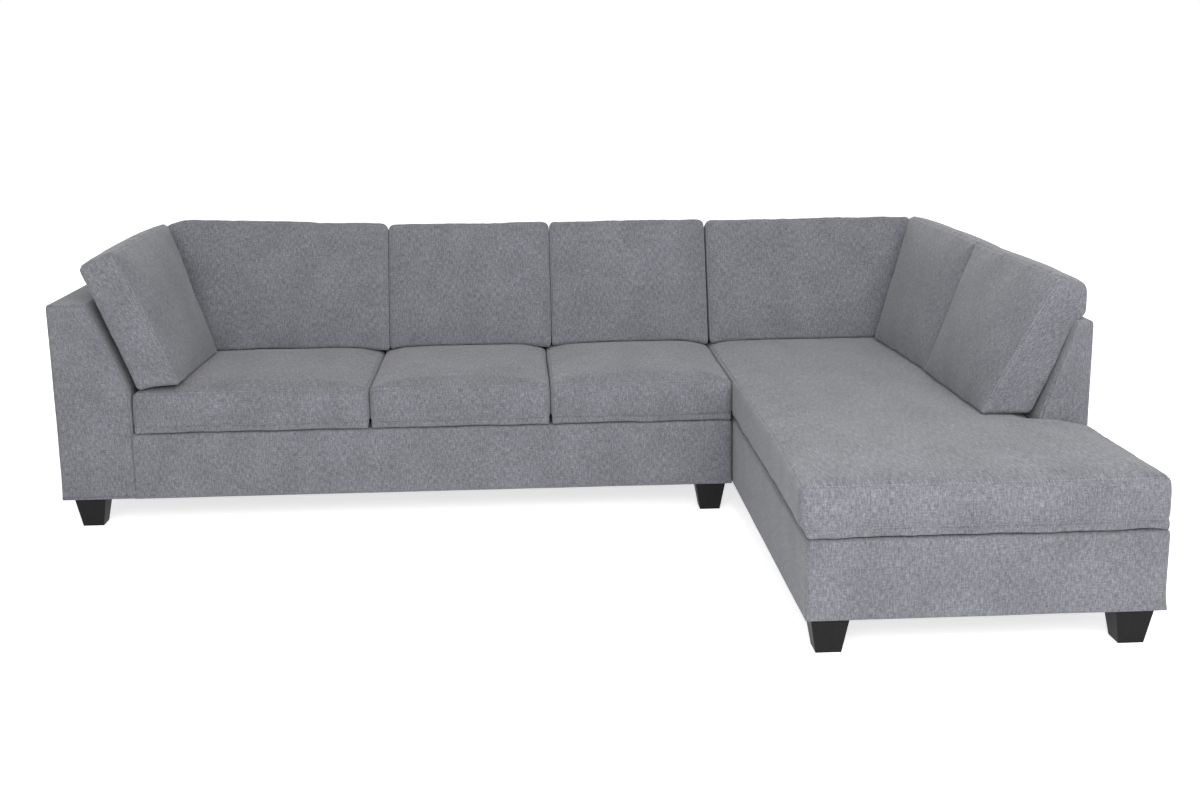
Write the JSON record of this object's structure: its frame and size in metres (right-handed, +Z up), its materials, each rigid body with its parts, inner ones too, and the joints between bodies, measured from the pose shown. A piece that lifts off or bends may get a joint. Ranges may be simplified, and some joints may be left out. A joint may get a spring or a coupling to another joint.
{
  "type": "sectional sofa with chaise",
  "caption": "L-shaped upholstered sectional sofa with one arm, a chaise with a side panel, loose seat and back cushions and short tapered legs.",
  "frame": {"origin": "middle of the footprint box, on the floor", "axes": "+X from the arm towards the chaise, +Y from the front to the back, +Z up"},
  "size_m": [3.058, 2.189, 0.8733],
  "materials": {
    "upholstery": "woven heather grey",
    "foam": "open cell foam",
    "fibre_filling": "polyester fibre",
    "felt": "needled felt",
    "dust_cloth": "non-woven cloth",
    "frame_wood": "sawn",
    "hardboard": "smooth",
    "leg_black": "satin black",
    "spring_steel": "drawn",
    "zinc_steel": "zinc plated",
    "clip_plastic": "moulded"
  },
  "bodies": {
    "sofa_unit": {"sofa_arm_boards": "hardboard", "sofa_arm_cover": "upholstery", "sofa_arm_frame": "frame_wood", "sofa_back_board": "hardboard", "sofa_back_cover": "upholstery", "sofa_back_frame": "frame_wood", "sofa_base_cover": "upholstery", "sofa_cross_rails": "frame_wood", "sofa_deck_pad": "felt", "sofa_dust_cover": "dust_cloth", "sofa_end_rails": "frame_wood", "sofa_front_rail": "frame_wood", "sofa_hooks": "zinc_steel", "sofa_leg_blocks": "frame_wood", "sofa_leg_bolts": "zinc_steel", "sofa_legs": "leg_black", "sofa_rear_rail": "frame_wood", "sofa_spring_clips": "clip_plastic", "sofa_springs": "spring_steel"},
    "chaise_unit": {"chaise_back_board": "hardboard", "chaise_back_cover": "upholstery", "chaise_back_frame": "frame_wood", "chaise_base_cover": "upholstery", "chaise_cross_rails": "frame_wood", "chaise_deck_pad": "felt", "chaise_dust_cover": "dust_cloth", "chaise_front_rail": "frame_wood", "chaise_leg_blocks": "frame_wood", "chaise_leg_bolts": "zinc_steel", "chaise_legs": "leg_black", "chaise_rear_rail": "frame_wood", "chaise_side_board": "hardboard", "chaise_side_cover": "upholstery", "chaise_side_frame": "frame_wood", "chaise_side_rails": "frame_wood", "chaise_spring_clips": "clip_plastic", "chaise_springs": "spring_steel", "chaise_tongues": "zinc_steel"},
    "seat_cushion_1": {"seat_cushion_1_core": "foam", "seat_cushion_1_cover": "upholstery"},
    "seat_cushion_2": {"seat_cushion_2_core": "foam", "seat_cushion_2_cover": "upholstery"},
    "seat_cushion_3": {"seat_cushion_3_core": "foam", "seat_cushion_3_cover": "upholstery"},
    "chaise_cushion": {"chaise_cushion_core": "foam", "chaise_cushion_cover": "upholstery"},
    "back_cushion_1": {"back_cushion_1_core": "fibre_filling", "back_cushion_1_cover": "upholstery"},
    "back_cushion_2": {"back_cushion_2_core": "fibre_filling", "back_cushion_2_cover": "upholstery"},
    "back_cushion_3": {"back_cushion_3_core": "fibre_filling", "back_cushion_3_cover": "upholstery"},
    "back_cushion_4": {"back_cushion_4_core": "fibre_filling", "back_cushion_4_cover": "upholstery"},
    "arm_cushion": {"arm_cushion_core": "fibre_filling", "arm_cushion_cover": "upholstery"},
    "side_cushion_front": {"side_cushion_front_core": "fibre_filling", "side_cushion_front_cover": "upholstery"},
    "side_cushion_rear": {"side_cushion_rear_core": "fibre_filling", "side_cushion_rear_cover": "upholstery"}
  },
  "joints": [
    {"name": "chaise_unit_lift", "type": "slide", "parent": "sofa_unit", "child": "chaise_unit", "axis": [0, 0, 1], "range_m": [0, 0.06]},
    {"name": "seat_cushion_1_slide", "type": "slide", "parent": "sofa_unit", "child": "seat_cushion_1", "axis": [0, -1, 0], "range_m": [0, 0.76]},
    {"name": "seat_cushion_2_slide", "type": "slide", "parent": "sofa_unit", "child": "seat_cushion_2", "axis": [0, -1, 0], "range_m": [0, 0.76]},
    {"name": "seat_cushion_3_slide", "type": "slide", "parent": "sofa_unit", "child": "seat_cushion_3", "axis": [0, -1, 0], "range_m": [0, 0.76]},
    {"name": "chaise_cushion_slide", "type": "slide", "parent": "chaise_unit", "child": "chaise_cushion", "axis": [0, -1, 0], "range_m": [0, 2.06]},
    {"name": "back_cushion_1_lift", "type": "slide", "parent": "sofa_unit", "child": "back_cushion_1", "axis": [0, 0.342, 0.9397], "range_m": [0, 0.5]},
    {"name": "back_cushion_2_lift", "type": "slide", "parent": "sofa_unit", "child": "back_cushion_2", "axis": [0, 0.342, 0.9397], "range_m": [0, 0.5]},
    {"name": "back_cushion_3_lift", "type": "slide", "parent": "sofa_unit", "child": "back_cushion_3", "axis": [0, 0.342, 0.9397], "range_m": [0, 0.5]},
    {"name": "back_cushion_4_lift", "type": "slide", "parent": "chaise_unit", "child": "back_cushion_4", "axis": [0, 0.342, 0.9397], "range_m": [0, 0.5]},
    {"name": "arm_cushion_lift", "type": "slide", "parent": "sofa_unit", "child": "arm_cushion", "axis": [-0.3827, 0, 0.9239], "range_m": [0, 0.5]},
    {"name": "side_cushion_front_lift", "type": "slide", "parent": "chaise_unit", "child": "side_cushion_front", "axis": [0.342, 0, 0.9397], "range_m": [0, 0.45]},
    {"name": "side_cushion_rear_lift", "type": "slide", "parent": "chaise_unit", "child": "side_cushion_rear", "axis": [0.342, 0, 0.9397], "range_m": [0, 0.45]}
  ]
}
